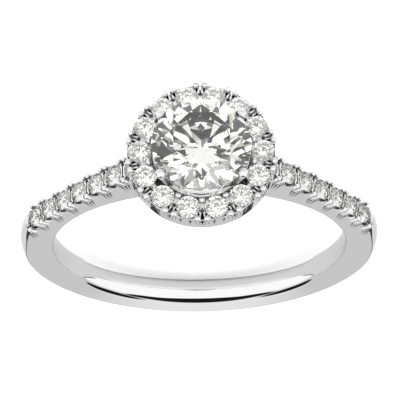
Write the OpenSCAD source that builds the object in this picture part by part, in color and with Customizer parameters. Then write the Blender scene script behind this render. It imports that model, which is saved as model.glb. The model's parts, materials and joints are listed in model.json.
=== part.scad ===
// Halo ring: a round centre stone in four claws, a halo of small stones round it,
// and a slim polished band whose shoulders carry a row of small stones on each side.
//
// Frame: millimetres, origin at the centre of the finger hole, +Z up.
// The ring lies on its side as it does on a table: on the rim of the halo and the edge of the band.
// Each piece is made with the finger hole along Z and the halo facing -Y, and lie() then tips it over.

/* [Finger hole and band] */
// Diameter of the finger hole
hole_d = 17.3; // [15.7:0.1:19.8]
// Width of the band at the finger hole
band_in_w = 1.3; // [1.2:0.05:1.6]
// Width of the band at its outer edges
band_out_w = 2.2; // [1.8:0.05:2.4]
// Width of the band's outer edges where the stones start
band_top_w = 1.7; // [1.6:0.05:2]
// Thickness of the band at its outer edges
band_t = 1.68; // [1.5:0.05:1.9]
// How far the outer surface of the band domes above its edges
band_dome = 0.2; // [0.1:0.02:0.3]
// Angle above the ring's middle at which the plain band ends and the row of stones starts
row_start = 20; // [19:0.5:22]

/* [Shoulders] */
// Small stones in each shoulder
shoulder_stones = 7; // [5:1:7]
// Distance from one shoulder stone to the next
shoulder_pitch = 1.455; // [1.43:0.005:1.46]
// Diameter of a shoulder stone
shoulder_stone_d = 1.18; // [1:0.02:1.2]
// Width of a shoulder
shoulder_w = 1.36; // [1.34:0.02:1.5]
// How far the top line of a shoulder bows outwards over its length
shoulder_bow = 0.27; // [0.25:0.01:0.4]
// Height of the top line where a shoulder meets the halo, from the ring's middle
shoulder_top_h = 10.62; // [10.5:0.02:10.7]
// Distance of that point from the stone's axis
shoulder_top_x = 3.4; // [3.3:0.05:3.6]

/* [Halo] */
// Stones in the halo
halo_stones = 14; // [12:1:14]
// Diameter of a halo stone
halo_stone_d = 1.18; // [1:0.02:1.22]
// Diameter of the circle through the halo stones' middles
halo_circle_d = 6.28; // [6.24:0.02:6.4]
// Outer diameter of the halo's lower rim
halo_rim_d = 7.56; // [7.4:0.02:7.8]
// Outer diameter of the halo at its top face
halo_top_d = 7.44; // [7.36:0.02:7.5]
// Height of the halo's underside from the ring's middle
halo_base_h = 11.45; // [11.4:0.05:11.7]
// Height of the halo from its underside to its top face
halo_t = 0.85; // [0.8:0.05:1]

/* [Centre stone] */
// Diameter of the centre stone
stone_d = 5.08; // [5:0.02:5.1]
// Height of its girdle from the ring's middle
stone_h = 13.15; // [13.1:0.05:13.3]
// Angle of the four claws from the band's line
claw_angle = 39; // [37:1:45]
// Diameter of a claw
claw_d = 0.56; // [0.5:0.02:0.7]

/* [Cut of the stones] */
// Table across its corners, as a share of the stone's diameter
table_share = 0.6; // [0.53:0.01:0.64]
// Crown angle in degrees
crown_angle = 34; // [30:1:38]
// Pavilion angle in degrees
pavilion_angle = 40.8; // [40:0.2:42]
// Girdle thickness as a share of the stone's diameter
girdle_share = 0.025; // [0.015:0.005:0.04]

/* [Fit] */
// Gap between a stone and the metal that holds it
seat_gap = 0.02; // [0.02:0.01:0.05]

/* [Hidden] */
HALO_NAMES = [for (i = [1 : halo_stones]) str("halo_stone_", i)];
LEFT_NAMES = [for (i = [1 : shoulder_stones]) str("left_stone_", i)];
RIGHT_NAMES = [for (i = [1 : shoulder_stones]) str("right_stone_", i)];
$fn = 64;
metal_colour = [0.83, 0.84, 0.86];
stone_colour = [0.95, 0.95, 0.94, 0.7];

// Where a stone's lower halves end, as a share of its radius
lower_share = 0.24;

// How far a soldered part runs into its neighbour, and how far a cutting shape runs past the metal
metal_overlap = 0.1;
cut_past = 1;

// The band
hole_r = hole_d / 2;
band_edge_r = hole_r + band_t;
band_r = band_edge_r + band_dome;
dome_r = (pow(band_out_w / 2, 2) + pow(band_dome, 2)) / (2 * band_dome);
step_drop = 0.33;
plane_clear = 0.15;
web_overlap = 3;
bridge_t = 1.35;
bridge_half_angle = 30;
window_x = 2.6;

// The top line of a shoulder is an arc from the row's start (x, h) to its end (x, h)
row_end_pts = [
    [(band_r - step_drop) * cos(row_start), (band_r - step_drop) * sin(row_start)],
    [shoulder_top_x, shoulder_top_h]
];
chord = row_end_pts[1] - row_end_pts[0];
chord_len = norm(chord);
line_r = (pow(chord_len / 2, 2) + pow(shoulder_bow, 2)) / (2 * shoulder_bow);
chord_out = [-chord[1], chord[0]] / chord_len * (chord[0] < 0 ? -1 : 1);
line_mid = (row_end_pts[0] + row_end_pts[1]) / 2 - chord_out * (line_r - shoulder_bow);
line_angle = atan2(chord_out[1], chord_out[0]);
row_len = (shoulder_stones - 1) * shoulder_pitch;
pitch_angle = shoulder_pitch / line_r * 180 / PI;
row_shift = 0.14;
first_angle = line_angle - (row_len / 2 - row_shift) / line_r * 180 / PI;

// The halo
halo_top_h = halo_base_h + halo_t;
halo_wall_low_r = 2.15;
halo_rail = 0.05;
halo_wall_top_r = halo_circle_d / 2 - halo_stone_d / 2 - halo_rail;
halo_lip = 0.3;
halo_pitch = 360 / halo_stones;

// The beads that hold the small stones; a stone's girdle stands this much above the metal
girdle_lift = 0.02;
bead_rise = 0.1;
bead_root = 0.35;
inner_bead_d = 0.36;
inner_bead_step = 0.43;
outer_bead_d = 0.3;
outer_bead_step = 0.54;
outer_bead_angle = 3.5;
shoulder_bead_d = 0.3;
bead_inset = 0.14;

// The head under the halo
collet_h = hole_r + bridge_t;
collet_low_r = 1.5;
collet_top_r = 1.75;
collet_wall = 0.5;
collet_t = 0.75;
collet_sink = 0.35;
claw_foot_r = 1.45;
claw_foot_h = collet_h + metal_overlap;
claw_bend_r = 2.12;
claw_rise = 0.15;
claw_bend_h = halo_base_h + claw_rise;
claw_tip_step = 0.06;
claw_tip_r = stone_d / 2 + claw_tip_step;
claw_tip_h = stone_h + claw_rise;
claw_swell = 0.05;
claw_ball_d = claw_d + claw_swell;

// Tips over by this angle, so that the halo's rim and the band's edge both touch the ground
rest_tilt = atan2(halo_rim_d / 2 - band_out_w / 2, halo_base_h + band_edge_r);

module lie() {
    rotate([-rest_tilt, 0, 0]) children();
}

// Turns a shape made along +Z so that it stands along the centre stone's axis
module on_head() {
    rotate([90, 0, 0]) children();
}

// Places a shape made along +Z on the top line of the right shoulder, at an angle of its arc
module on_shoulder(angle) {
    on_head()
        translate([line_mid[0] + line_r * cos(angle), 0, line_mid[1] + line_r * sin(angle)])
            rotate([0, 90 - angle, 0])
                children();
}

// A point of a stone at a radius, an angle and a height
function ring_point(r, a, z) = [r * cos(a), r * sin(a), z];

// A round brilliant with its girdle at z = 0: table, stars, kites and halves above, mains and halves below
module brilliant(d) {
    r = d / 2;
    step = 360 / 8;
    half = step / 2;
    girdle_h = d * girdle_share / 2;
    table_r = r * table_share;
    crown_h = (r - table_r) * tan(crown_angle);
    depth = r * tan(pavilion_angle);
    star_r = (table_r * cos(half) + r) / 2;
    star_h = crown_h * (r - star_r * cos(half)) / (r - table_r);
    low_r = r * lower_share;
    low_h = depth * (r - low_r * cos(half)) / r;
    points = concat(
        [for (k = [0 : 7]) ring_point(table_r, step * k, crown_h + girdle_h)],
        [for (k = [0 : 7]) ring_point(star_r, step * k + half, star_h + girdle_h)],
        [for (k = [0 : 15]) ring_point(r, half * k, girdle_h)],
        [for (k = [0 : 15]) ring_point(r, half * k, -girdle_h)],
        [for (k = [0 : 7]) ring_point(low_r, step * k + half, -low_h - girdle_h)],
        [[0, 0, -depth - girdle_h]]
    );
    star = 8;
    top = star + 8;
    under = top + 16;
    low = under + 16;
    tip = low + 8;
    faces = concat(
        [[for (k = [7 : -1 : 0]) k]],
        [for (k = [0 : 7]) [k, (k + 1) % 8, star + k]],
        [for (k = [0 : 7]) [k, star + k, top + 2 * k, star + (k + 7) % 8]],
        [for (k = [0 : 7]) [star + k, top + 2 * k + 1, top + 2 * k]],
        [for (k = [0 : 7]) [star + k, top + (2 * k + 2) % 16, top + 2 * k + 1]],
        [for (j = [0 : 15]) [top + j, top + (j + 1) % 16, under + (j + 1) % 16, under + j]],
        [for (k = [0 : 7]) [under + 2 * k, under + 2 * k + 1, low + k]],
        [for (k = [0 : 7]) [under + 2 * k + 1, under + (2 * k + 2) % 16, low + k]],
        [for (k = [0 : 7]) [under + 2 * k, low + k, tip, low + (k + 7) % 8]]
    );
    polyhedron(points = points, faces = faces, convexity = 2);
}

// The room that a stone needs in the metal: its own cones and girdle, grown by the gap
module stone_room(d) {
    r = d / 2 + seat_gap;
    girdle_h = d * girdle_share / 2 + seat_gap;
    rotate_extrude()
        polygon([
            [0, -girdle_h - r * tan(pavilion_angle)],
            [r, -girdle_h],
            [r, girdle_h],
            [0, girdle_h + r * tan(crown_angle)]
        ]);
}

// The band's cross-section: narrow at the finger, wide and slightly domed at the outside
module band_section() {
    intersection() {
        polygon([
            [hole_r, -band_in_w / 2],
            [band_edge_r, -band_out_w / 2],
            [band_r + cut_past, -band_out_w / 2],
            [band_r + cut_past, band_out_w / 2],
            [band_edge_r, band_out_w / 2],
            [hole_r, band_in_w / 2]
        ]);
        translate([band_r - dome_r, 0]) circle(r = dome_r);
    }
}

// Room between two planes that lean together, so that the band is slimmest where the stones start.
// At the bottom of the band the planes stand clear of it.
module side_planes() {
    start_y = -band_edge_r * sin(row_start);
    bottom_w = band_out_w + 2 * plane_clear;
    slope = (bottom_w - band_top_w) / 2 / (band_edge_r - start_y);
    reach = 2 * band_r;
    near_half = bottom_w / 2 - slope * (band_edge_r + reach);
    far_half = bottom_w / 2 + slope * (reach - band_edge_r);
    rotate([90, 0, 90])
        linear_extrude(height = 2 * reach, center = true)
            polygon([[-reach, -near_half], [reach, -far_half], [reach, far_half], [-reach, near_half]]);
}

// The plain polished part of the band, from one row of stones round the back to the other
module plain_band() {
    intersection() {
        rotate([0, 0, -row_start])
            rotate_extrude(angle = 180 + 2 * row_start)
                band_section();
        side_planes();
    }
}

// The bridge of the band under the head, slimmer than the rest
module bridge() {
    rotate([0, 0, -90 - bridge_half_angle])
        rotate_extrude(angle = 2 * bridge_half_angle)
            translate([hole_r, -shoulder_w / 2]) square([bridge_t, shoulder_w]);
}

// The right shoulder: a flat-sided web from the finger hole up to its top line
module shoulder() {
    far = 2 * hole_r;
    start = row_start - web_overlap;
    top_h = halo_base_h + metal_overlap;
    rotate([180, 0, 0])
        linear_extrude(height = shoulder_w, center = true)
            difference() {
                intersection() {
                    translate(line_mid) circle(r = line_r);
                    polygon([
                        [window_x, 0],
                        [far * cos(start), far * sin(start)],
                        [far, top_h],
                        [window_x, top_h]
                    ]);
                }
                circle(r = hole_r);
            }
}

// Round-topped beads on both edges of the right shoulder, between the stones
module shoulder_beads() {
    for (i = [1 : shoulder_stones - 1], side = [-1, 1])
        on_shoulder(first_angle + (i - 0.5) * pitch_angle)
            translate([0, side * (shoulder_w / 2 - bead_inset), 0]) {
                translate([0, 0, -bead_root]) cylinder(d = shoulder_bead_d, h = bead_root + bead_rise);
                translate([0, 0, bead_rise]) sphere(d = shoulder_bead_d);
            }
}

// The halo's ring of metal: a low rim, a sloping outer wall and a sloping inner wall
module halo_ring() {
    on_head()
        rotate_extrude()
            polygon([
                [halo_wall_low_r, halo_base_h],
                [halo_rim_d / 2, halo_base_h],
                [halo_rim_d / 2, halo_base_h + halo_lip],
                [halo_top_d / 2, halo_top_h],
                [halo_wall_top_r, halo_top_h]
            ]);
}

// A round-topped bead of the halo, at a radius and an angle
module halo_bead(r, angle, d) {
    rotate([0, 0, angle])
        translate([r, 0, halo_top_h]) {
            translate([0, 0, -bead_root]) cylinder(d = d, h = bead_root + bead_rise);
            translate([0, 0, bead_rise]) sphere(d = d);
        }
}

// Beads in the halo, two outside and one inside at each gap between two stones
module halo_beads() {
    on_head()
        for (i = [0 : halo_stones - 1]) {
            halo_bead(halo_circle_d / 2 - inner_bead_step, i * halo_pitch + 90, inner_bead_d);
            for (turn = [-outer_bead_angle, outer_bead_angle])
                halo_bead(halo_circle_d / 2 + outer_bead_step, i * halo_pitch + 90 + turn, outer_bead_d);
        }
}

// The collet that carries the claws, seated on the bridge of the band
module collet() {
    on_head()
        rotate_extrude()
            polygon([
                [collet_low_r - collet_wall, collet_h - collet_sink],
                [collet_low_r, collet_h - collet_sink],
                [collet_top_r, collet_h + collet_t],
                [collet_top_r - collet_wall, collet_h + collet_t]
            ]);
}

// A round bar from one point to another
module bar(a, b, d) {
    v = b - a;
    translate(a)
        rotate([0, acos(v[2] / norm(v)), atan2(v[1], v[0])])
            cylinder(d = d, h = norm(v));
}

// One claw: up and out from the collet, up past the halo, and over the stone's edge in a round tip
module claw() {
    foot = [claw_foot_r, 0, claw_foot_h];
    bend = [claw_bend_r, 0, claw_bend_h];
    tip = [claw_tip_r, 0, claw_tip_h];
    bar(foot, bend, claw_d);
    translate(bend) sphere(d = claw_ball_d);
    bar(bend, tip, claw_d);
    translate(tip) sphere(d = claw_ball_d);
}

module claws() {
    on_head()
        for (a = [claw_angle, 180 - claw_angle, 180 + claw_angle, -claw_angle])
            rotate([0, 0, a]) claw();
}

module place_halo_stone(i) {
    on_head()
        rotate([0, 0, (i - 0.5) * halo_pitch + 90])
            translate([halo_circle_d / 2, 0, halo_top_h + girdle_lift])
                children();
}

module place_shoulder_stone(i, side) {
    mirror([side < 0 ? 1 : 0, 0, 0])
        on_shoulder(first_angle + (i - 1) * pitch_angle)
            translate([0, 0, girdle_lift])
                children();
}

// All the soldered metal as one solid, with room cut for every stone
module mount() {
    color(metal_colour)
        lie()
            difference() {
                union() {
                    plain_band();
                    bridge();
                    for (side = [0, 1])
                        mirror([side, 0, 0]) {
                            shoulder();
                            shoulder_beads();
                        }
                    halo_ring();
                    halo_beads();
                    collet();
                    claws();
                }
                on_head() translate([0, 0, stone_h]) stone_room(stone_d);
                for (i = [1 : halo_stones]) place_halo_stone(i) stone_room(halo_stone_d);
                for (i = [1 : shoulder_stones], side = [-1, 1])
                    place_shoulder_stone(i, side) stone_room(shoulder_stone_d);
            }
}

module centre_stone() {
    color(stone_colour)
        lie() on_head() translate([0, 0, stone_h]) rotate([0, 0, 22.5]) brilliant(stone_d);
}

module halo_stone(i) {
    color(stone_colour)
        lie() place_halo_stone(i) brilliant(halo_stone_d);
}

module shoulder_stone(i, side) {
    color(stone_colour)
        lie() place_shoulder_stone(i, side) brilliant(shoulder_stone_d);
}

mount();
centre_stone();
for (i = [1 : halo_stones]) {
    halo_stone(i);
}
for (i = [1 : shoulder_stones]) {
    shoulder_stone(i, -1);
    shoulder_stone(i, 1);
}
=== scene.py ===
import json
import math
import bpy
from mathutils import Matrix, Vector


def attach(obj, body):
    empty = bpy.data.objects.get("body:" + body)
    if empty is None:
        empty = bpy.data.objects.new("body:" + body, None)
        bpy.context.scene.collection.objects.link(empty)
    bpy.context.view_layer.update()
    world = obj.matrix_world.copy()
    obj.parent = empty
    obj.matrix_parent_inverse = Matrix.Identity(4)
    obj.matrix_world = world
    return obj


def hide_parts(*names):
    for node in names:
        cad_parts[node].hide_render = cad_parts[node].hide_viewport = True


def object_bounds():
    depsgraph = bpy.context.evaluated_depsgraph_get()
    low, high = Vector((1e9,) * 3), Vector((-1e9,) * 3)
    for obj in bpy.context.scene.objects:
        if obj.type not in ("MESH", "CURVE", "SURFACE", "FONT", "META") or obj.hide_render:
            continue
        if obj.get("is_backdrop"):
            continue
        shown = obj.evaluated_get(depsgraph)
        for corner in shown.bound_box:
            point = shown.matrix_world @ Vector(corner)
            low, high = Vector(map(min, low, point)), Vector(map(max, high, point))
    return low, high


bl_info = {
    "name": "Halo Ring",
    "version": (1, 0, 0),
    "blender": (4, 5, 0),
    "location": "3D View > Sidebar > Halo Ring",
    "description": "Builds the metal of a halo ring, dresses its cut stones and sets a plain stage",
    "category": "Add Mesh",
}

from types import SimpleNamespace

import bmesh
import bpy
import numpy as np
from bpy.props import FloatProperty, FloatVectorProperty, IntProperty, PointerProperty
from mathutils import Matrix, Vector

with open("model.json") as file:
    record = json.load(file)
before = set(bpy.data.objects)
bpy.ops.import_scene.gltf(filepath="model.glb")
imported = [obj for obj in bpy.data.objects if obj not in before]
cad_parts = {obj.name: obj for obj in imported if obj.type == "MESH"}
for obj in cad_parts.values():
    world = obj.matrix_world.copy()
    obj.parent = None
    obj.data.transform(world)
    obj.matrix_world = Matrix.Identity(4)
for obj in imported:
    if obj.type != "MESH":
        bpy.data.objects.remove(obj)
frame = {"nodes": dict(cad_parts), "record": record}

MM = 0.001

# Rows of points: along the band's side, round it to the stones, along a shoulder, over the bridge, round
# the inner edges and the others, and round the halo for each stone
SIDE_ROWS = 7
BAND_STEPS = 74
SHOULDER_STEPS = 44
BRIDGE_STEPS = 14
COMFORT_STEPS = 14
EDGE_STEPS = 6
HALO_STEPS = 16

# Sides of turned forms, and the step in degrees of their round tops
BEAD_SIDES = 24
PIT_SIDES = 28
SEAT_SIDES = 32
COLLET_SIDES = 96
ARC_STEP = 15

# Lengths in millimetres. A lift is how far a groove's cutter stands above the metal; a claw's foot and bend
# rise above the collet's start and the halo's underside.
SLIVER = 0.0005
STONE_LIFT = 0.02
SHOULDER_END = 11.9
SLIT_TOP = 0.1
CUT_TOP = 0.3
SCALLOP_END = 2
GROOVE_RISE = 0.02
SHOULDER_LIFT = 0.06
HALO_LIFT = 0.24
FOOT_RISE = 0.4
BEND_RISE = 0.15
LEAST_FLAT = 0.02

# Degrees from the bottom at which the outer edges start to sink and to become rounder, and the steps to the
# band's next sections where the stones and the window start
SINK_START = 80
ROUND_START = 70
ROW_STEPS = (0.02, 0.6, 1.5)
WINDOW_STEP = 0.05

# The cut of the stones: the girdle's half height and least radius as shares of its radius, and the crown's
# slope
GIRDLE_SHARE = 0.025
GIRDLE_RIM = 0.999
CROWN_SLOPE = math.tan(math.radians(34.0))

# Shares: a corner's pull, how much rounder the outer edges become, a row's first and last gap beyond its
# stones, a groove's run behind its top, where a claw's bend starts and ends, and its width at the tip
CORNER_WEIGHT = 0.8
EDGE_GROWTH = 1.5
FIRST_GAP = 0.36
LAST_GAP = 0.5
GROOVE_BACK = 0.15
BEND_START, BEND_END = 0.8, 0.2
TIP_WIDTH = 1.02

ON_AXIS = 1e-9
SHARP_EDGE = math.radians(20.0)
SENSOR = 36.0

# Places of the colours among the sockets of a Mix node
MIX_FIRST, MIX_SECOND, MIX_RESULT = 6, 7, 2
WHITE = (1.0, 1.0, 1.0, 1.0)

# The floor, in metres: half its width, and where its painted pool of light starts, is full, fades and ends
# along Y
FLOOR_HALF = 1.5
POOL_START, POOL_FULL, POOL_FADE, POOL_END = 0.006, -0.006, -0.014, -0.018
FLOOR_ROUGHNESS = 0.7

# The metal's sky in degrees and levels. A card has the azimuth and height of its middle, the radii at which
# it fades, and its level. The strip has its heights and level.
SKY_LEVEL = 1.06
FAR_CARDS = ((0, 20, 40, 60, 0.62),)
LOW_STRIP = (-4, 7, 0.05)
STRIP_FADE = 2
FAR_SIDE = (0.05, 0.2)
HIGH_CARDS = (
    (0, 50, 5, 22, 0.87),
    (0, 73, 14.5, 17.5, 0.01),
    (-34, 67, 8, 12, 0.01),
    (-27, 44, 10, 13, 0.01),
    (34, 67, 8, 12, 0.01),
    (27, 44, 10, 13, 0.01),
)

# The stones' sky: tones of its cards along the noise, and the dark patch on the camera's side
CARD_TONES = (
    (0.45, (0.02, 0.02, 0.02, 1)),
    (0.475, (0.3, 0.29, 0.26, 1)),
    (0.51, (0.5, 0.49, 0.46, 1)),
    (0.54, (1, 1, 1, 1)),
)
CAMERA_PATCH = (8, 16, 0.03, 1.5)

# The ring is modelled in millimetres with its finger hole along Z and its halo facing -Y.
# FLAT_TO_ROW lays it down as it rests, in metres.
FINGER_HOLE = frame["record"]["mounts"][0]
HOLE_AXIS = Vector(FINGER_HOLE["axis"])
HOLE_RADIUS = FINGER_HOLE["dims"]["r_mm"]
REST_TILT = math.atan2(HOLE_AXIS.y, HOLE_AXIS.z)
FLAT_TO_ROW = Matrix.Rotation(-REST_TILT, 4, "X") @ Matrix.Scale(MM, 4)
ROW_TO_FLAT = FLAT_TO_ROW.inverted()


def number(name, description, value, **more):
    return FloatProperty(name=name, description=description, default=value, **more)


def length(name, description, millimetres):
    return number(name, description, millimetres * MM, precision=5, subtype="DISTANCE", unit="LENGTH")


def angle(name, description, degrees):
    return number(name, description, math.radians(degrees), subtype="ANGLE", unit="ROTATION")


def factor(name, description, value):
    return number(name, description, value, min=0.0, max=1.0, subtype="FACTOR")


def colour(name, description, rgb):
    return FloatVectorProperty(name=name, description=description, default=rgb, size=3, min=0.0, max=1.0,
                               subtype="COLOR")


class BandSettings(bpy.types.PropertyGroup):
    hole_radius: length("Hole radius", "Radius of the finger hole", HOLE_RADIUS)
    inner_half: length("Inner half width", "Half the band's width at the finger hole", 0.65)
    edge_radius: length("Edge radius", "Radius of the band's outer edges", 10.33)
    edge_drop: length("Edge drop", "How far the outer edges sink towards the stones", 0.34)
    crest_radius: length("Crest radius", "Radius of the crest of the domed outside", 10.53)
    bottom_half: length("Bottom half width", "Half the band's outer width opposite the stone", 1.1)
    start_half: length("Start half width", "Half the band's outer width where the stones start", 0.83)
    row_start: angle("Row start", "Angle from the bottom at which the rows of stones start", 110.0)
    shoulder_half: length("Shoulder half width", "Half a shoulder's width", 0.7)
    shoulder_blend: angle("Shoulder blend", "Angle over which the band narrows to a shoulder", 14.0)
    window_x: length("Window", "Distance from the stone's axis at which a shoulder ends", 2.6)
    bridge_radius: length("Bridge radius", "Outer radius of the band under the head", 10.0)
    crisp_edge: length("Crisp edge", "Rounding of the crisp edges", 0.05)
    comfort_round: length("Comfort rounding", "Rounding of the inner edges opposite the stone", 0.9)
    comfort_end: angle("Comfort end", "Angle from the bottom at which that rounding ends", 57.0)


class CuttingSettings(bpy.types.PropertyGroup):
    seat_gap: length("Seat gap", "Gap between a stone and its seat", 0.015)
    groove_half: length("Groove half width", "Half the width of a bright-cut groove at its top", 0.165)
    groove_depth: length("Groove depth", "Depth of a bright-cut groove at its top", 0.6)
    groove_closing: factor("Groove closing", "Spacing of the grooves' tips as a share of their tops", 0.4)
    shoulder_spread: length("Shoulder spread", "Spacing of the grooves below a shoulder's beads", 0.31)
    shoulder_run: length("Shoulder run", "Length of the grooves on a shoulder", 1.25)
    shoulder_lean: angle("Shoulder lean", "Angle of those grooves from the stone's axis", 18.0)
    halo_start: length("Halo start", "Radius at which the grooves of the halo start", 3.5)
    halo_half: length("Halo half width", "Half the width of a groove on the halo", 0.145)
    halo_depth: length("Halo depth", "Depth of a groove on the halo below its slope", 0.33)
    halo_spread: length("Halo spread", "Spacing of the grooves below the halo's beads", 0.22)
    halo_drop: length("Halo drop", "Height of the grooves on the halo", 0.76)
    notch_shift: length("Notch shift", "Distance of the halo's notches from a gap's middle", 0.6)
    notch_half: length("Notch half width", "Half the width of a notch on the halo", 0.22)
    notch_drop: length("Notch drop", "Height of a notch on the halo", 0.7)
    notch_depth: length("Notch depth", "Depth of a notch on the halo below its slope", 0.46)
    scallop_radius: length("Scallop radius", "Radius of the scallop beside a shoulder stone", 0.45)
    scallop_lift: length("Scallop lift", "Height of the scallop's middle above the stone's edge", 0.22)
    scallop_bite: length("Scallop bite", "How far the scallop reaches under the stone's edge", 0.12)
    split_half: length("Split half width", "Half the width of the slit between two shoulder stones", 0.06)
    split_depth: length("Split depth", "Depth of that slit", 0.35)
    well_offset: length("Well offset", "Distance of a shoulder's hollows from its middle line", 0.36)
    claw_room: length("Claw room", "Radius of the pit in the halo round a claw", 0.42)
    claw_pit: length("Claw pit", "Depth of the pit in the halo round a claw", 0.5)
    well_shift: length("Well shift", "How far outside the stones' circle the halo's hollows lie", 0.12)
    well_radius: length("Well radius", "Radius of the hollow between two stones", 0.15)
    well_depth: length("Well depth", "Depth of the hollow between two stones", 0.3)


class BeadSettings(bpy.types.PropertyGroup):
    shoulder_radius: length("Shoulder bead radius", "Radius of a bead on a shoulder", 0.15)
    shoulder_step: length("Shoulder bead step", "Half the spacing of a pair of shoulder beads", 0.19)
    shoulder_inset: length("Shoulder bead inset", "Distance of the shoulder beads from the edge", 0.1)
    outer_radius: length("Outer bead radius", "Radius of a bead on the halo's outer edge", 0.165)
    outer_turn: angle("Outer bead turn", "Half the angle between a pair of outer beads", 3.5)
    outer_circle: length("Outer bead circle", "Radius of the circle of outer beads", 3.72)
    inner_radius: length("Inner bead radius", "Radius of a bead on the halo's inner edge", 0.17)
    inner_circle: length("Inner bead circle", "Radius of the circle of inner beads", 2.71)
    rise: length("Rise", "Height of a bead's round top above the metal", 0.09)
    root: length("Root", "Depth of a bead's root", 0.3)


class HeadSettings(bpy.types.PropertyGroup):
    wall_low_radius: length("Low wall radius", "Inner radius of the halo at its underside", 2.15)
    wall_top_radius: length("Top wall radius", "Inner radius of the halo at its top", 2.5)
    rim_radius: length("Rim radius", "Radius of the halo's lower rim", 3.82)
    top_radius: length("Top radius", "Radius of the halo's top face", 3.76)
    base_height: length("Base height", "Height of the halo's underside from the ring's middle", 11.45)
    lip: length("Lip", "Height of the halo's plain lower rim", 0.1)
    thickness: length("Thickness", "Height of the halo", 0.85)
    rounding: length("Rounding", "Rounding of the halo's edges", 0.04)
    collet_low: length("Low collet radius", "Radius of the collet at the bridge", 1.5)
    collet_top: length("Top collet radius", "Radius of the collet at its top", 1.75)
    collet_wall: length("Collet wall", "Thickness of the collet", 0.5)
    collet_base: length("Collet base", "Height at which the collet starts", 9.65)
    collet_height: length("Collet height", "Height of the collet", 1.1)
    claw_foot: length("Claw foot", "Distance of a claw's foot from the stone's axis", 1.45)
    claw_bend: length("Claw bend", "Distance of a claw from the axis as it passes the halo", 2.12)
    claw_radius: length("Claw radius", "Radius of a claw", 0.25)
    claw_angle: angle("Claw angle", "Angle of the claws from the band's line", 39.0)
    tip_step: length("Tip step", "Distance of a claw's tip outside the stone's edge", 0.06)
    tip_rise: length("Tip rise", "Height of a claw's tip above the stone's edge", 0.07)
    tip_radius: length("Tip radius", "Radius of a claw's round tip", 0.28)


class FinishSettings(bpy.types.PropertyGroup):
    metal: colour("Metal", "Colour of the polished white metal", (0.9, 0.9, 0.905))
    # The crevice settings paint shade into the metal's colour where little around it is open
    crevice_shade: colour("Crevices", "Colour of the metal deep in a crevice", (0.08, 0.08, 0.085))
    crevice_shade_reach: length("Crevice reach", "Width of a crevice that goes dark", 1.0)
    head_shade_reach: length("Head crevice reach", "Width of a crevice of the head that goes dark", 0.9)
    metal_shade_start: factor("Metal openness", "Open share at which the metal starts to go dark", 0.75)
    metal_shade_full: factor("Metal closeness", "Open share at which the metal is at its darkest", 0.3)
    claw_shade_start: factor("Claw openness", "Open share at which a claw starts to go dark", 0.97)
    claw_shade_full: factor("Claw closeness", "Open share at which a claw is at its darkest", 0.5)
    metal_rough: factor("Metal roughness", "Roughness of the polished metal", 0.035)
    polish_scale: number("Polish scale", "Fineness of the polish marks, per metre", 2600.0)
    polish_depth: factor("Polish depth", "Strength of the polish marks", 0.02)
    stone: colour("Stone", "Body colour of the stones", (0.985, 0.985, 0.985))
    stone_warm: colour("Warm tint", "Warm tint that drifts through a stone", (0.95, 0.94, 0.91))
    tint_scale: number("Tint scale", "Fineness of the warm tint's drift, per metre", 900.0)
    # The stones' glow is painted light: the stones give off light of their own
    halo_stone_glow: number("Halo fire", "Extra light that leaves the halo's stones", 0.05)
    shoulder_stone_glow: number("Shoulder fire", "Extra light that leaves the shoulders' stones", 0.0)
    stone_ior: number("Refraction", "Index of refraction of the stones", 2.42)


class StageSettings(bpy.types.PropertyGroup):
    distance: length("Camera distance", "Distance of the camera from the ring's middle", 75.0)
    face_angle: angle("Face angle", "Angle of the camera above the finger's axis", 66.8)
    turn: angle("Turn", "Turn of the camera about the stone's axis", -1.98)
    roll: angle("Roll", "Roll of the camera", -1.24)
    pixels_per_mm: number("Scale", "Pixels of the picture for a millimetre at the ring's middle", 16.79)
    picture: IntProperty(name="Picture", description="Width of the picture in pixels", default=400)
    middle_x: number("Middle x", "Pixel column of the ring's middle", 199.32)
    middle_y: number("Middle y", "Pixel row of the ring's middle", 240.0)
    floor: colour("Floor", "Colour of the floor", (0.9, 0.9, 0.9))
    floor_glow: number("Floor glow", "Extra brightness of the lit floor in the picture", 0.45)
    # The floor's light pool is painted light: its near half glows for the metal to mirror
    floor_light_pool: number("Floor sheen", "Extra brightness of the floor's near half", 0.36)
    card_scale: number("Card scale", "Fineness of the light cards that the stones mirror", 4.2)
    card_seed: number("Card seed", "Picks the pattern of those light cards", 9.0)


def settings(name):
    """The values of one group of settings, with each length in millimetres."""
    group = getattr(bpy.context.scene.halo_ring, name)
    values = {}
    for key, prop in group.bl_rna.properties.items():
        if key not in {"rna_type", "name"}:
            value = getattr(group, key)
            values[key] = value / MM if getattr(prop, "unit", "NONE") == "LENGTH" else value
    return SimpleNamespace(**values)


def smooth_step(value, low, high):
    t = min(max((value - low) / (high - low), 0.0), 1.0)
    return t * t * (3.0 - 2.0 * t)


def bend(a, corner, b, steps):
    """Points of a round corner from a to b."""
    curve = []
    for k in range(steps + 1):
        t = k / steps
        u, v, w = (1 - t) ** 2, 2 * t * (1 - t) * CORNER_WEIGHT, t * t
        curve.append((a * u + corner * v + b * w) / (u + v + w))
    return curve


def stone_place(node):
    """Centre, upward axis and radius of a cut stone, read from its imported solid, in millimetres."""
    points = np.array([ROW_TO_FLAT @ v.co for v in frame["nodes"][node].data.vertices])
    points = np.unique(np.round(points, 4), axis=0)
    middle = points.mean(axis=0)
    spread = np.linalg.svd(points - middle)[2]
    axis = spread[2]
    along = (points - middle) @ axis
    if abs(along.max()) > abs(along.min()):
        axis, along = -axis, -along
    across = np.linalg.norm(points - middle - np.outer(along, axis), axis=1)
    girdle = across > across.max() * GIRDLE_RIM
    centre = middle + axis * along[girdle].mean()
    return SimpleNamespace(centre=Vector(centre), up=Vector(axis), radius=float(across.max()),
                           depth=float(along[girdle].mean() - along.min()))


def stone_row(prefix):
    names = [n for n in frame["nodes"] if n.startswith(prefix)]
    names.sort(key=lambda n: int(n.rsplit("_", 1)[1]))
    return [stone_place(n) for n in names]


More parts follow.
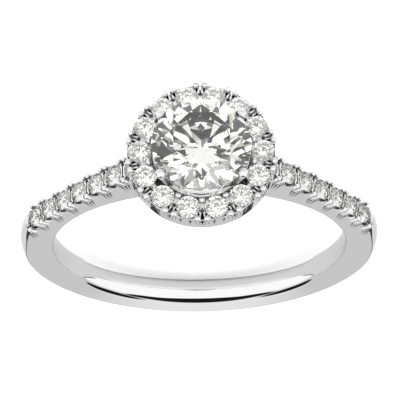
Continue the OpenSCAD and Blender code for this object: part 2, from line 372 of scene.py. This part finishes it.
def swept(rings, closed):
    """A solid through rings of points, as (points, faces)."""
    count = len(rings[0])
    points = [p for ring in rings for p in ring]
    faces = []
    for i in range(len(rings) if closed else len(rings) - 1):
        a, b = i * count, (i + 1) % len(rings) * count
        for j in range(count):
            k = (j + 1) % count
            faces.append((a + j, a + k, b + k, b + j))
    if not closed:
        faces.append(tuple(range(count)))
        faces.append(tuple(range(len(points) - count, len(points))))
    return points, faces


def turned(profile, sides, place):
    """A solid turned about local Z from (radius, height) pairs, which end on the axis or close up."""
    points, faces, rows = [], [], []
    for radius, height in profile:
        if radius < ON_AXIS:
            rows.append([len(points)])
            points.append(place @ Vector((0, 0, height)))
            continue
        rows.append(list(range(len(points), len(points) + sides)))
        for j in range(sides):
            a = 2 * math.pi * j / sides
            points.append(place @ Vector((radius * math.cos(a), radius * math.sin(a), height)))
    pairs = list(zip(rows, rows[1:]))
    if profile[0][0] > ON_AXIS:
        pairs.append((rows[-1], rows[0]))
    for a, b in pairs:
        for j in range(sides):
            k = (j + 1) % sides
            if len(a) == 1:
                faces.append((a[0], b[k], b[j]))
            elif len(b) == 1:
                faces.append((a[j], a[k], b[0]))
            else:
                faces.append((a[j], a[k], b[k], b[j]))
    return points, faces


def drum(radius, low, high, sides, place):
    """A cylinder along local Z."""
    return turned([(0, low), (radius, low), (radius, high), (0, high)], sides, place)


def dome(radius, height, start):
    """The (radius, height) pairs of a round top, from start degrees up to its pole."""
    profile = []
    for degrees in range(start, 90, ARC_STEP):
        a = math.radians(degrees)
        profile.append((radius * math.cos(a), height + radius * math.sin(a)))
    return profile + [(0, height + radius)]


def frame_at(origin, up, right):
    """A placement whose Z runs along up and whose X is as near right as it can be."""
    z = up.normalized()
    y = z.cross(right).normalized()
    x = y.cross(z)
    return Matrix.Translation(origin) @ Matrix((x, y, z)).transposed().to_4x4()


def head_frame(angle_deg, radius, height):
    """A placement on the head with Z towards the stone's table and X outwards."""
    a = math.radians(angle_deg)
    out = Vector((math.cos(a), 0, math.sin(a)))
    return frame_at(out * radius + Vector((0, -height, 0)), Vector((0, -1, 0)), out)


def wedge(top, side, out, down, half, depth, closing, lift):
    """A groove that is wide and deep at top and runs out along down; lift is its height above the metal."""
    back = top - down * GROOVE_BACK
    points = [
        back + side * half + out * lift,
        back - side * half + out * lift,
        back - out * depth,
        top + down + closing + out * lift * 0.5,
    ]
    faces = [(0, 1, 2), (0, 1, 3), (1, 2, 3), (2, 0, 3)]
    return points, faces


def placed(name, data):
    """A new object in the scene."""
    made = bpy.data.objects.new(name, data)
    bpy.context.scene.collection.objects.link(made)
    return made


def piece(name, solids):
    """One mesh object in millimetres from solids given as (points, faces)."""
    points, faces = [], []
    for part_points, part_faces in solids:
        start = len(points)
        points += [tuple(p) for p in part_points]
        faces += [tuple(i + start for i in face) for face in part_faces]
    mesh = bpy.data.meshes.new(name)
    mesh.from_pydata(points, [], faces)
    work = bmesh.new()
    work.from_mesh(mesh)
    bmesh.ops.recalc_face_normals(work, faces=work.faces)
    work.to_mesh(mesh)
    work.free()
    return placed(name, mesh)


def combine(target, solids, operation):
    """Cuts solids from target, or fuses them with it."""
    tool = piece("tool", solids)
    modifier = target.modifiers.new("combine", "BOOLEAN")
    modifier.operation = operation
    modifier.solver = "MANIFOLD"
    modifier.object = tool
    seen = target.evaluated_get(bpy.context.evaluated_depsgraph_get())
    mesh = bpy.data.meshes.new_from_object(seen)
    target.modifiers.clear()
    target.data = mesh
    bpy.data.objects.remove(tool)


def tidy_cuts(work):
    """Takes away slivers, back-to-back faces and loose edges that the cuts left, and closes the surface."""
    bmesh.ops.remove_doubles(work, verts=work.verts, dist=SLIVER)
    bmesh.ops.dissolve_degenerate(work, edges=work.edges, dist=SLIVER)
    bmesh.ops.triangulate(work, faces=work.faces)
    bmesh.ops.dissolve_degenerate(work, edges=work.edges, dist=SLIVER)
    corners = {}
    for face in work.faces:
        corners.setdefault(frozenset(face.verts), []).append(face)
    doubled = [face for same in corners.values() if len(same) > 1 for face in same]
    bmesh.ops.delete(work, geom=doubled, context="FACES_ONLY")
    bmesh.ops.delete(work, geom=[edge for edge in work.edges if not edge.link_faces], context="EDGES")
    rims = [edge for edge in work.edges if len(edge.link_faces) == 1]
    closed = bmesh.ops.holes_fill(work, edges=rims, sides=0)["faces"]
    bmesh.ops.triangulate(work, faces=closed)
    bmesh.ops.recalc_face_normals(work, faces=work.faces)


def settle(made, *look):
    """Lays a finished piece down with the ring, smooths its curves and gives it its metal, with painted
    shade in its crevices.
    """
    mesh = made.data
    work = bmesh.new()
    work.from_mesh(mesh)
    tidy_cuts(work)
    for face in work.faces:
        face.smooth = True
    for edge in work.edges:
        edge.smooth = len(edge.link_faces) == 2 and edge.calc_face_angle(0.0) < SHARP_EDGE
    work.to_mesh(mesh)
    work.free()
    mesh.transform(FLAT_TO_ROW)
    mesh.materials.clear()
    mesh.materials.append(metal_material(*look))
    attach(made, "root")
    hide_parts("mount")


def stone_rooms(places, gap):
    """The cones and girdle that each stone fills in the metal."""
    rooms = []
    for place in places:
        r = place.radius + gap
        half = place.radius * GIRDLE_SHARE + gap
        profile = [(0, -place.depth - gap), (r, -half), (r, half), (0, half + r * CROWN_SLOPE)]
        rooms.append(turned(profile, SEAT_SIDES, frame_at(place.centre, place.up, Vector((0, 0, 1)))))
    return rooms


def bead(place, radius, beads):
    """A round-topped bead standing on local Z = 0."""
    profile = [(0, -beads.root), (radius, -beads.root), (radius, beads.rise)]
    return turned(profile + dome(radius, beads.rise, ARC_STEP), BEAD_SIDES, place)


def shoulder_line(row):
    """Centre and radius of the arc that a shoulder's stones follow, in the band's plane."""
    first, last = row[0], row[-1]
    turn = first.up.angle(last.up)
    radius = (last.centre - first.centre).length / (2 * math.sin(turn / 2))
    return first.centre - first.up * radius, radius


def half_width(b, degrees):
    """Half the band's width at its outer edges, at an angle from the bottom."""
    start = math.degrees(b.row_start)
    if degrees <= start:
        return b.bottom_half + (b.start_half - b.bottom_half) * smooth_step(degrees, 0, start)
    blend = smooth_step(degrees, start, start + math.degrees(b.shoulder_blend))
    return b.start_half + (b.shoulder_half - b.start_half) * blend


def band_section(b, phi, line):
    """The band's cross-section at an angle from the bottom, as (radius, z) pairs round one ring."""
    degrees = abs(math.degrees(phi))
    start = math.degrees(b.row_start)
    way = Vector((abs(math.sin(phi)), math.cos(phi), 0))
    half = half_width(b, degrees)
    if degrees <= start:
        edge = b.edge_radius - b.edge_drop * smooth_step(degrees, SINK_START, start)
        crest = b.crest_radius
    else:
        centre, radius = line
        radius -= STONE_LIFT
        share = way.dot(centre)
        edge = share + math.sqrt(share * share - centre.length_squared + radius * radius)
        if edge * way.x < b.window_x:
            edge = b.bridge_radius
        crest = edge

    # The side keeps one plane where the outer edge sinks and over the ledge
    share = (edge - b.hole_radius) / (b.edge_radius - b.hole_radius)
    blend = smooth_step(degrees, start, start + math.degrees(b.shoulder_blend))
    half = b.inner_half + (half - b.inner_half) * (share + (1 - share) * blend)
    fade = max(0.0, 1 - abs(phi / b.comfort_end) ** 3)
    soft = b.crisp_edge + (b.comfort_round - b.crisp_edge) * math.sqrt(fade)
    inner = Vector((b.hole_radius, b.inner_half))
    outer = Vector((edge, half))
    rise = (outer - inner).normalized()
    points = [Vector((b.hole_radius, 0.0))]
    points += bend(inner - Vector((0, min(soft, b.inner_half - LEAST_FLAT))), inner, inner + rise * soft,
                   COMFORT_STEPS)
    rim = b.crisp_edge * (1 + EDGE_GROWTH * smooth_step(degrees, ROUND_START, start))
    roll = outer - Vector((0, rim))
    roll.x += (crest - edge) * (1 - ((half - rim) / half) ** 2)
    foot = points[-1]
    shore = outer - rise * rim
    points += [foot.lerp(shore, k / SIDE_ROWS) for k in range(1, SIDE_ROWS)]
    points += bend(shore, outer, roll, EDGE_STEPS)
    for k in reversed(range(EDGE_STEPS)):
        z = (half - rim) * k / EDGE_STEPS
        points.append(Vector((edge + (crest - edge) * (1 - (z / half) ** 2), z)))
    mirrored = [Vector((p.x, -p.y)) for p in reversed(points[1:-1])]
    return points + mirrored


def band_rings(b, line):
    start = math.degrees(b.row_start)
    end = math.degrees(math.pi - math.asin(b.window_x / SHOULDER_END))
    ledge, after, even = (start + step for step in ROW_STEPS)
    angles = [*np.linspace(0, start, BAND_STEPS), ledge, after, *np.linspace(even, end, SHOULDER_STEPS)]
    angles += list(np.linspace(end + WINDOW_STEP, 180, BRIDGE_STEPS))
    half_turn = [math.radians(a) for a in angles]
    whole = half_turn + [-a for a in reversed(half_turn[1:-1])]
    rings = []
    for phi in whole:
        section = band_section(b, phi, line)
        rings.append([Vector((r * math.sin(phi), r * math.cos(phi), z)) for r, z in section])
    return rings


def row_gaps(row):
    """Middle and upward direction of each gap of a row, with one more at each end."""
    centres = [s.centre for s in row]
    ups = [s.up for s in row]
    gaps = [(centres[0] * (1 + FIRST_GAP) - centres[1] * FIRST_GAP, ups[0])]
    for a, b, up_a, up_b in zip(centres, centres[1:], ups, ups[1:]):
        gaps.append(((a + b) / 2, (up_a + up_b).normalized()))
    gaps.append((centres[-1] * (1 + LAST_GAP) - centres[-2] * LAST_GAP, ups[-1]))
    return gaps


def well(place, c):
    """A pointed hollow below local Z = 0."""
    profile = [(0, -c.well_depth), (c.well_radius, 0), (c.well_radius, CUT_TOP), (0, CUT_TOP)]
    return turned(profile, 4, place)


def shoulder_cuts(row, half_at, c):
    """Grooves below the gaps, scallops beside the stones, slits and wells between the stones of one row."""
    grooves, scallops, slits, wells = [], [], [], []
    z = Vector((0, 0, 1))
    for middle, up in row_gaps(row):
        along = up.cross(z).normalized()
        lean = math.copysign(math.sin(c.shoulder_lean), -middle.x)
        down = Vector((lean, math.cos(c.shoulder_lean), 0)) * c.shoulder_run
        for way in (-1, 1):
            edge = middle + z * way * half_at(middle)
            for step in (-1, 0, 1):
                shift = along * step * c.shoulder_spread
                grooves.append(wedge(edge + shift, along, z * way, down, c.groove_half, c.groove_depth,
                                     shift * (c.groove_closing - 1), SHOULDER_LIFT))
        top, side = up * SLIT_TOP, along * c.split_half
        slit = [top + side, top - side, -up * c.split_depth]
        ends = [[middle + p + z * way * c.well_offset for p in slit] for way in (-1, 1)]
        slits.append(swept(ends, closed=False))
        for way in (-1, 1):
            wells.append(well(frame_at(middle + z * way * c.well_offset, up, z), c))
    for stone in row:
        for way in (-1, 1):
            middle = stone.centre + stone.up * c.scallop_lift
            scallops.append(drum(c.scallop_radius, stone.radius - c.scallop_bite, SCALLOP_END, SEAT_SIDES,
                                 frame_at(middle, z * way, stone.up)))
    return grooves, scallops, slits[1:-1], wells[2:-2]


def shoulder_beads(row, half_at, beads):
    made = []
    z = Vector((0, 0, 1))
    for i, (middle, up) in enumerate(row_gaps(row)):
        along = up.cross(z).normalized()
        if along.dot(row[1].centre - row[0].centre) < 0:
            along.negate()
        for way in (-1, 1):
            for step in (-1, 1) if i else (1,):
                foot = middle + z * way * (half_at(middle) - beads.shoulder_inset)
                foot += along * step * beads.shoulder_step
                made.append(bead(frame_at(foot, up, z), beads.shoulder_radius, beads))
    return made


class HALO_RING_OT_band(bpy.types.Operator):
    """Make the polished band with its two shoulders, grooves and beads"""
    bl_idname = "halo_ring.band"
    bl_label = "Band and Shoulders"

    def execute(self, context):
        b, c, beads = settings("band"), settings("cutting"), settings("beads")
        right, left = stone_row("right_stone_"), stone_row("left_stone_")
        line = shoulder_line(right)
        band = piece("band", [swept(band_rings(b, line), closed=True)])

        def half_at(point):
            return half_width(b, 180 - math.degrees(math.atan2(abs(point.x), -point.y)))

        for row in (right, left):
            for cuts in shoulder_cuts(row, half_at, c):
                combine(band, cuts, "DIFFERENCE")
        combine(band, shoulder_beads(right, half_at, beads) + shoulder_beads(left, half_at, beads), "UNION")
        combine(band, stone_rooms(right + left, c.seat_gap), "DIFFERENCE")
        finish = context.scene.halo_ring.finish
        settle(band, "band_white_gold", finish.crevice_shade_reach, finish.metal_shade_start, finish.metal_shade_full)
        return {"FINISHED"}


def halo_profile(h):
    top = h.base_height + h.thickness
    corners = [
        (h.wall_low_radius, h.base_height),
        (h.rim_radius, h.base_height),
        (h.rim_radius, h.base_height + h.lip),
        (h.top_radius, top),
        (h.wall_top_radius, top),
    ]
    profile = []
    for i, corner in enumerate(corners):
        here = Vector(corner)
        before = (Vector(corners[i - 1]) - here).normalized() * h.rounding
        after = (Vector(corners[(i + 1) % len(corners)]) - here).normalized() * h.rounding
        profile += [tuple(p) for p in bend(here + before, here, here + after, EDGE_STEPS)]
    return profile


class HALO_RING_OT_halo(bpy.types.Operator):
    """Make the halo with its seats, grooves and beads"""
    bl_idname = "halo_ring.halo"
    bl_label = "Halo"

    def execute(self, context):
        h, c, beads = settings("head"), settings("cutting"), settings("beads")
        stones = stone_row("halo_stone_")
        pitch = 360 / len(stones)
        top = h.base_height + h.thickness
        halo = piece("halo", [turned(halo_profile(h), HALO_STEPS * len(stones), head_frame(0, 0, 0))])
        grooves, notches, wells, pits, balls = [], [], [], [], []
        fall = h.rim_radius - c.halo_start

        def cut(turn_deg, half, depth, drop, closing):
            at = head_frame(turn_deg, c.halo_start, top + GROOVE_RISE)
            out, side, up = at.to_3x3().col
            down = (out * fall - up * c.halo_drop) * (drop / c.halo_drop)
            away = (out * c.halo_drop + up * fall).normalized()
            return wedge(at.translation, side, away, down, half, depth, side * closing, HALO_LIFT)

        for i in range(len(stones)):
            gap = i * pitch + 90
            for step in (-1, 0, 1):
                turn = math.degrees(c.halo_spread / h.top_radius) * step
                closing = c.halo_spread * (c.groove_closing - 1) * step
                grooves.append(cut(gap + turn, c.halo_half, c.halo_depth, c.halo_drop, closing))
            for way in (-1, 1):
                turn = math.degrees(c.notch_shift / h.top_radius) * way
                notches.append(cut(gap + turn, c.notch_half, c.notch_depth, c.notch_drop, 0.0))
            wells.append(well(head_frame(gap, stones[0].centre.xz.length + c.well_shift, top), c))
            if any(abs((gap - a + 180) % 360 - 180) < pitch / 2 for a in claw_angles(h)):
                place = head_frame(gap, stone_place("centre_stone").radius, top)
                pits.append(drum(c.claw_room, -c.claw_pit, CUT_TOP, PIT_SIDES, place))
            else:
                balls.append(bead(head_frame(gap, beads.inner_circle, top), beads.inner_radius, beads))
            for way in (-1, 1):
                turn = math.degrees(beads.outer_turn) * way
                place = head_frame(gap + turn, beads.outer_circle, top)
                balls.append(bead(place, beads.outer_radius, beads))
        for cuts in (grooves, notches, wells, pits):
            combine(halo, cuts, "DIFFERENCE")
        combine(halo, balls, "UNION")
        combine(halo, stone_rooms(stones, c.seat_gap), "DIFFERENCE")
        finish = context.scene.halo_ring.finish
        settle(halo, "head_white_gold", finish.head_shade_reach, finish.metal_shade_start, finish.metal_shade_full)
        return {"FINISHED"}


def claw_angles(h):
    turn = math.degrees(h.claw_angle)
    return turn, 180 - turn, 180 + turn, -turn


def claw_tube(h, stone, angle_deg):
    """One claw from the collet, past the halo and over the stone's edge, with a round tip."""
    a = math.radians(angle_deg)
    out = Vector((math.cos(a), 0, math.sin(a)))
    up = Vector((0, -1, 0))
    height = -stone.centre.y
    foot = out * h.claw_foot + up * (h.collet_base + FOOT_RISE)
    bow = out * h.claw_bend + up * (h.base_height + BEND_RISE)
    tip = out * (stone.radius + h.tip_step) + up * (height + h.tip_rise)
    path = [foot, *bend(foot.lerp(bow, BEND_START), bow, bow.lerp(tip, BEND_END), EDGE_STEPS), tip]
    radii = [h.claw_radius] * (len(path) - 1) + [h.claw_radius * TIP_WIDTH]
    rings = []
    side = Vector((-out.z, 0, out.x))
    turns = [2 * math.pi * j / BEAD_SIDES for j in range(BEAD_SIDES)]
    for i, point in enumerate(path):
        ahead = path[min(i + 1, len(path) - 1)] - path[max(i - 1, 0)]
        across = ahead.cross(side).normalized()
        rings.append([point + (across * math.cos(t) + side * math.sin(t)) * radii[i] for t in turns])
    ball = [(0, -h.tip_radius)] + dome(h.tip_radius, 0, ARC_STEP - 90)
    return swept(rings, closed=False), turned(ball, PIT_SIDES, frame_at(tip, up, out))


class HALO_RING_OT_claws(bpy.types.Operator):
    """Make the collet and the four claws of the centre stone"""
    bl_idname = "halo_ring.claws"
    bl_label = "Collet and Claws"

    def execute(self, context):
        h, c = settings("head"), settings("cutting")
        stone = stone_place("centre_stone")
        low, high = h.collet_base, h.collet_base + h.collet_height
        profile = [
            (h.collet_low - h.collet_wall, low),
            (h.collet_low, low),
            (h.collet_top - h.rounding, high - h.rounding),
            (h.collet_top - 2 * h.rounding, high),
            (h.collet_top - h.collet_wall, high),
        ]
        collet = piece("collet_and_claws", [turned(profile, COLLET_SIDES, head_frame(0, 0, 0))])
        for angle_deg in claw_angles(h):
            tube, cap = claw_tube(h, stone, angle_deg)
            combine(collet, [tube], "UNION")
            combine(collet, [cap], "UNION")
        combine(collet, stone_rooms([stone], c.seat_gap), "DIFFERENCE")
        finish = context.scene.halo_ring.finish
        settle(collet, "claw_white_gold", finish.head_shade_reach, finish.claw_shade_start, finish.claw_shade_full)
        return {"FINISHED"}


class HALO_RING_OT_stones(bpy.types.Operator):
    """Give the centre stone and the small stones their finish"""
    bl_idname = "halo_ring.stones"
    bl_label = "Stones"

    def execute(self, context):
        finish = context.scene.halo_ring.finish
        centre = stone_material("centre_stone", 0.0)
        halo = stone_material("halo_stone", finish.halo_stone_glow)
        shoulder = stone_material("shoulder_stone", finish.shoulder_stone_glow)
        for name, node in frame["nodes"].items():
            row = halo if name.startswith("halo_") else shoulder
            if name != "mount":
                node.material_slots[0].material = centre if name == "centre_stone" else row
        return {"FINISHED"}


def feed(node, inputs):
    """Sets each input of a node to a value, or links it to a socket."""
    for name, value in inputs.items():
        socket = node.inputs[name]
        if isinstance(value, bpy.types.NodeSocket):
            node.id_data.links.new(value, socket)
        else:
            socket.default_value = value


def add_node(tree, kind, inputs, **fields):
    """A new shader node, with its fields set and then its inputs fed."""
    node = tree.nodes.new("ShaderNode" + kind)
    for field, value in fields.items():
        setattr(node, field, value)
    feed(node, inputs)
    return node


def mixed_colour(tree, mask, first, second):
    """The colour that goes from first to second as mask goes from 0 to 1."""
    ends = {"Factor": mask, MIX_FIRST: first, MIX_SECOND: second}
    return add_node(tree, "Mix", ends, data_type="RGBA").outputs[MIX_RESULT]


def product(tree, first, second):
    return add_node(tree, "Math", {0: first, 1: second}, operation="MULTIPLY").outputs["Value"]


def soft_step(tree, value, low, high):
    """Goes smoothly from 0 to 1 as value goes from low to high."""
    ends = {"Value": value, "From Min": low, "From Max": high}
    return add_node(tree, "MapRange", ends, interpolation_type="SMOOTHSTEP").outputs["Result"]


def effect(tree, fill, inputs, outputs):
    """Places the shader group that fill builds once, with this material's own inputs."""
    name = fill.__name__
    if name not in bpy.data.node_groups:
        group = bpy.data.node_groups.new(name, "ShaderNodeTree")
        for title, value in inputs.items():
            kind = "NodeSocketFloat" if isinstance(value, float) else "NodeSocketColor"
            socket = group.interface.new_socket(name=title, in_out="INPUT", socket_type=kind)
            socket.default_value = value
        for title, kind in outputs.items():
            group.interface.new_socket(name=title, in_out="OUTPUT", socket_type=kind)
        given = group.nodes.new("NodeGroupInput").outputs
        feed(group.nodes.new("NodeGroupOutput"), fill(group, given))
    node = add_node(tree, "Group", {}, node_tree=bpy.data.node_groups[name])
    feed(node, inputs)
    return node.outputs


def polish_marks(group, given):
    """Fine marks of polishing: a roughness that drifts and a faint bump."""
    place = add_node(group, "TexCoord", {}).outputs["Object"]
    noise = add_node(group, "TexNoise", {"Vector": place, "Scale": given["Scale"], "Detail": 3.0})
    marks = noise.outputs["Fac"]
    spread = add_node(group, "MapRange", {"Value": marks, "To Min": 0.7, "To Max": 1.3})
    bump = add_node(group, "Bump", {"Height": marks, "Strength": given["Depth"], "Distance": 0.01 * MM})
    rough = product(group, spread.outputs["Result"], given["Roughness"])
    return {"Roughness": rough, "Normal": bump.outputs["Normal"]}


def painted_crevice_shade(group, given):
    """A mask of painted shade in crevices: 0 where the open share of what lies within Reach is Open, and 1
    where it is Shut.
    """
    hidden = add_node(group, "AmbientOcclusion", {"Distance": given["Reach"]}, samples=8)
    return {"Mask": soft_step(group, hidden.outputs["AO"], given["Open"], given["Shut"])}


def drifting_tint(group, given):
    """The body colour of a stone, with a warm tint that drifts through it."""
    place = add_node(group, "TexCoord", {}).outputs["Object"]
    drift = add_node(group, "TexNoise", {"Vector": place, "Scale": given["Scale"], "Detail": 1.0})
    return {"Color": mixed_colour(group, drift.outputs["Fac"], given["Stone"], given["Warm"])}


def new_material(name):
    material = bpy.data.materials.new(name)
    material.use_nodes = True
    tree = material.node_tree
    return material, tree, tree.nodes["Principled BSDF"]


def metal_material(name, reach, open_share, shut_share):
    """Rhodium-bright white gold, polished, with painted shade: its colour goes dark where little of what
    lies within reach is open.
    """
    finish = bpy.context.scene.halo_ring.finish
    material, tree, shader = new_material(name)
    shares = {"Reach": reach, "Open": open_share, "Shut": shut_share}
    # Painted shade: an occlusion mask that darkens the metal's colour in its crevices
    deep = effect(tree, painted_crevice_shade, shares, {"Mask": "NodeSocketFloat"})
    polish = {"Scale": finish.polish_scale, "Roughness": finish.metal_rough, "Depth": finish.polish_depth}
    outputs = {"Roughness": "NodeSocketFloat", "Normal": "NodeSocketVector"}
    marks = effect(tree, polish_marks, polish, outputs)

    # The painted shade darkens only what the camera sees directly; metal seen through a stone or mirrored
    # in metal keeps its full brightness
    path = add_node(tree, "LightPath", {})
    seen = product(tree, deep["Mask"], path.outputs["Is Camera Ray"])
    feed(shader, {
        "Base Color": mixed_colour(tree, seen, (*finish.metal, 1.0), (*finish.crevice_shade, 1.0)),
        "Metallic": 1.0,
        "Roughness": marks["Roughness"],
        "Normal": marks["Normal"],
    })
    return material


def stone_material(name, painted_glow):
    """A clear colourless stone with a warm tint that drifts through it, which glows with painted light
    though it is no lamp.
    """
    finish = bpy.context.scene.halo_ring.finish
    material, tree, shader = new_material(name)
    drift = {
        "Scale": finish.tint_scale,
        "Stone": (*finish.stone, 1.0),
        "Warm": (*finish.stone_warm, 1.0),
    }
    tint = effect(tree, drifting_tint, drift, {"Color": "NodeSocketColor"})
    feed(shader, {
        "Base Color": tint["Color"],
        "Metallic": 0.0,
        "Roughness": 0.0,
        "IOR": finish.stone_ior,
        "Transmission Weight": 1.0,
        # Painted light: the stone glows with its own emission
        "Emission Color": WHITE,
        "Emission Strength": painted_glow,
    })
    return material


def photo_camera(s):
    """The camera at the photo's angle to the ring, with the ring's middle where the photo has it."""
    lift, turn, roll = s.face_angle, s.turn, s.roll
    toward = Vector((math.sin(turn) * math.cos(lift), -math.cos(turn) * math.cos(lift), math.sin(lift)))
    ahead = -toward
    right = ahead.cross(Vector((0, 0, 1))).normalized()
    down = ahead.cross(right)
    view_right = math.cos(roll) * right + math.sin(roll) * down
    view_down = -math.sin(roll) * right + math.cos(roll) * down
    focal = s.pixels_per_mm * s.distance
    offset_x = (s.middle_x - s.picture / 2) * s.distance / focal
    offset_y = (s.middle_y - s.picture / 2) * s.distance / focal
    eye = -(view_right * offset_x + view_down * offset_y + ahead * s.distance)

    # The photo's frame has x to its right, y along the finger away from the viewer, and z along the stone
    def laid(v):
        return FLAT_TO_ROW.to_3x3() @ Vector((-v.x, -v.z, -v.y)) / MM

    columns = [laid(view_right), laid(-view_down), laid(-ahead)]
    matrix = Matrix(columns).transposed().to_4x4()
    matrix.translation = laid(eye) * MM
    return matrix, focal * SENSOR / s.picture


def sky_way(azimuth_deg, height_deg):
    """A direction of the sky: azimuth from the far side towards +X, and height above the horizon."""
    a, h = math.radians(azimuth_deg), math.radians(height_deg)
    return Vector((math.sin(a) * math.cos(h), math.cos(a) * math.cos(h), math.sin(h)))


def studio_world(s, camera_way):
    """A soft white sky with grey and dark cards for the metal, and a sky of small cards for the stones."""
    world = bpy.data.worlds.new("studio")
    world.use_nodes = True
    tree = world.node_tree
    way = add_node(tree, "TexCoord", {}).outputs["Generated"]
    along = add_node(tree, "SeparateXYZ", {"Vector": way}).outputs

    def laid_over(mask, over, under):
        ends = {"Factor": mask, "A": under, "B": over}
        return add_node(tree, "Mix", ends, data_type="FLOAT").outputs["Result"]

    def card(direction, inner_deg, outer_deg, over, under):
        """A round card in a direction of the sky."""
        dot = add_node(tree, "VectorMath", {0: way, 1: direction.normalized()}, operation="DOT_PRODUCT")
        outer, inner = math.cos(math.radians(outer_deg)), math.cos(math.radians(inner_deg))
        return laid_over(soft_step(tree, dot.outputs["Value"], outer, inner), over, under)

    def cards(rows, level):
        for azimuth, height, inner_deg, outer_deg, over in rows:
            level = card(sky_way(azimuth, height), inner_deg, outer_deg, over, level)
        return level

    def strip(low_deg, high_deg, level, under):
        """A level on the far side between two heights above the horizon."""
        edges = (low_deg - STRIP_FADE, low_deg, high_deg + STRIP_FADE, high_deg)
        foot, low, top, high = (math.sin(math.radians(a)) for a in edges)
        above, below = soft_step(tree, along["Z"], foot, low), soft_step(tree, along["Z"], top, high)
        far = soft_step(tree, along["Y"], *FAR_SIDE)
        return laid_over(product(tree, product(tree, above, below), far), level, under)

    level = cards(HIGH_CARDS, strip(*LOW_STRIP, cards(FAR_CARDS, SKY_LEVEL)))
    pattern = {"Vector": way, "W": s.card_seed, "Scale": s.card_scale, "Detail": 1.0}
    noise = add_node(tree, "TexNoise", pattern, noise_dimensions="4D")
    shades = add_node(tree, "ValToRGB", {"Fac": noise.outputs["Fac"]})
    tones = shades.color_ramp.elements
    for end, (position, tone) in zip(tones, (CARD_TONES[0], CARD_TONES[-1])):
        end.position = position
        end.color = tone
    for position, tone in CARD_TONES[1:-1]:
        tones.new(position).color = tone
    patch = card(camera_way, *CAMERA_PATCH)
    bright = add_node(tree, "VectorMath", {0: shades.outputs["Color"], "Scale": patch}, operation="SCALE")

    # Rays that come out of a stone meet the small cards; all others meet the plain sky
    path = add_node(tree, "LightPath", {})
    both = mixed_colour(tree, path.outputs["Is Transmission Ray"], level, bright.outputs["Vector"])
    feed(tree.nodes["Background"], {"Color": both})
    bpy.context.scene.world = world


def floor_material(s):
    """A pale floor that is brighter in the picture and seen through the stones, most on its near half,
    where it glows with a painted pool of light that the metal mirrors.
    """
    material, tree, shader = new_material("pale_floor")
    place = add_node(tree, "TexCoord", {}).outputs["Object"]
    depth = add_node(tree, "SeparateXYZ", {"Vector": place}).outputs["Y"]

    def ramp(start, full, top):
        ends = {"Value": depth, "From Min": start, "From Max": full, "To Max": top}
        return add_node(tree, "MapRange", ends).outputs["Result"]

    # Painted light: the floor's near half glows as a pool of light for the metal to mirror
    light_pool = product(tree, ramp(POOL_START, POOL_FULL, s.floor_light_pool), ramp(POOL_END, POOL_FADE, 1.0))
    path = add_node(tree, "LightPath", {}).outputs
    rays = {0: path["Is Camera Ray"], 1: path["Is Transmission Ray"]}
    seen = add_node(tree, "Math", rays, operation="MAXIMUM").outputs["Value"]
    glow = add_node(tree, "Math", {0: seen, 1: s.floor_glow, 2: light_pool}, operation="MULTIPLY_ADD")
    feed(shader, {
        "Base Color": (*s.floor, 1.0),
        "Roughness": FLOOR_ROUGHNESS,
        "Emission Color": WHITE,
        "Emission Strength": glow.outputs["Value"],
    })
    return material


class HALO_RING_OT_stage(bpy.types.Operator):
    """Set the floor, the soft light and the camera"""
    bl_idname = "halo_ring.stage"
    bl_label = "Stage"

    def execute(self, context):
        s = settings("stage")
        matrix, lens = photo_camera(s)
        data = bpy.data.cameras.new("camera")
        data.sensor_width = SENSOR
        data.lens = lens
        data.clip_start = 0.005
        camera = placed("camera", data)
        camera.matrix_world = matrix
        context.scene.camera = camera

        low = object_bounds()[0].z
        mesh = bpy.data.meshes.new("floor")
        corners = [(x * FLOOR_HALF, y * FLOOR_HALF, low) for x, y in ((-1, -1), (1, -1), (1, 1), (-1, 1))]
        mesh.from_pydata(corners, [], [(0, 1, 2, 3)])
        mesh.materials.append(floor_material(s))
        placed("floor", mesh)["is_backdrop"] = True

        studio_world(s, matrix.translation)
        context.scene.view_settings.view_transform = "Standard"
        return {"FINISHED"}


class HaloRingSettings(bpy.types.PropertyGroup):
    band: PointerProperty(type=BandSettings)
    cutting: PointerProperty(type=CuttingSettings)
    beads: PointerProperty(type=BeadSettings)
    head: PointerProperty(type=HeadSettings)
    finish: PointerProperty(type=FinishSettings)
    stage: PointerProperty(type=StageSettings)


OPERATORS = (
    HALO_RING_OT_band,
    HALO_RING_OT_halo,
    HALO_RING_OT_claws,
    HALO_RING_OT_stones,
    HALO_RING_OT_stage,
)


class HALO_RING_PT_panel(bpy.types.Panel):
    """Lists the pieces of the halo ring and their sizes"""
    bl_label = "Halo Ring"
    bl_idname = "HALO_RING_PT_panel"
    bl_space_type = "VIEW_3D"
    bl_region_type = "UI"
    bl_category = "Halo Ring"

    def draw(self, context):
        for operator in OPERATORS:
            self.layout.operator(operator.bl_idname)
        for name in ("band", "cutting", "beads", "head", "finish", "stage"):
            group = getattr(context.scene.halo_ring, name)
            box = self.layout.box()
            box.label(text=name.capitalize())
            for prop in group.bl_rna.properties.keys():
                if prop not in {"rna_type", "name"}:
                    box.prop(group, prop)


CLASSES = (
    BandSettings,
    CuttingSettings,
    BeadSettings,
    HeadSettings,
    FinishSettings,
    StageSettings,
    HaloRingSettings,
    *OPERATORS,
    HALO_RING_PT_panel,
)


def register():
    for cls in CLASSES:
        bpy.utils.register_class(cls)
    bpy.types.Scene.halo_ring = PointerProperty(type=HaloRingSettings)


def unregister():
    del bpy.types.Scene.halo_ring
    for cls in reversed(CLASSES):
        bpy.utils.unregister_class(cls)


def main():
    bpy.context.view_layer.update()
    register()
    bpy.ops.halo_ring.band()
    bpy.ops.halo_ring.halo()
    bpy.ops.halo_ring.claws()
    bpy.ops.halo_ring.stones()
    bpy.ops.halo_ring.stage()


if __name__ == "__main__":
    main()
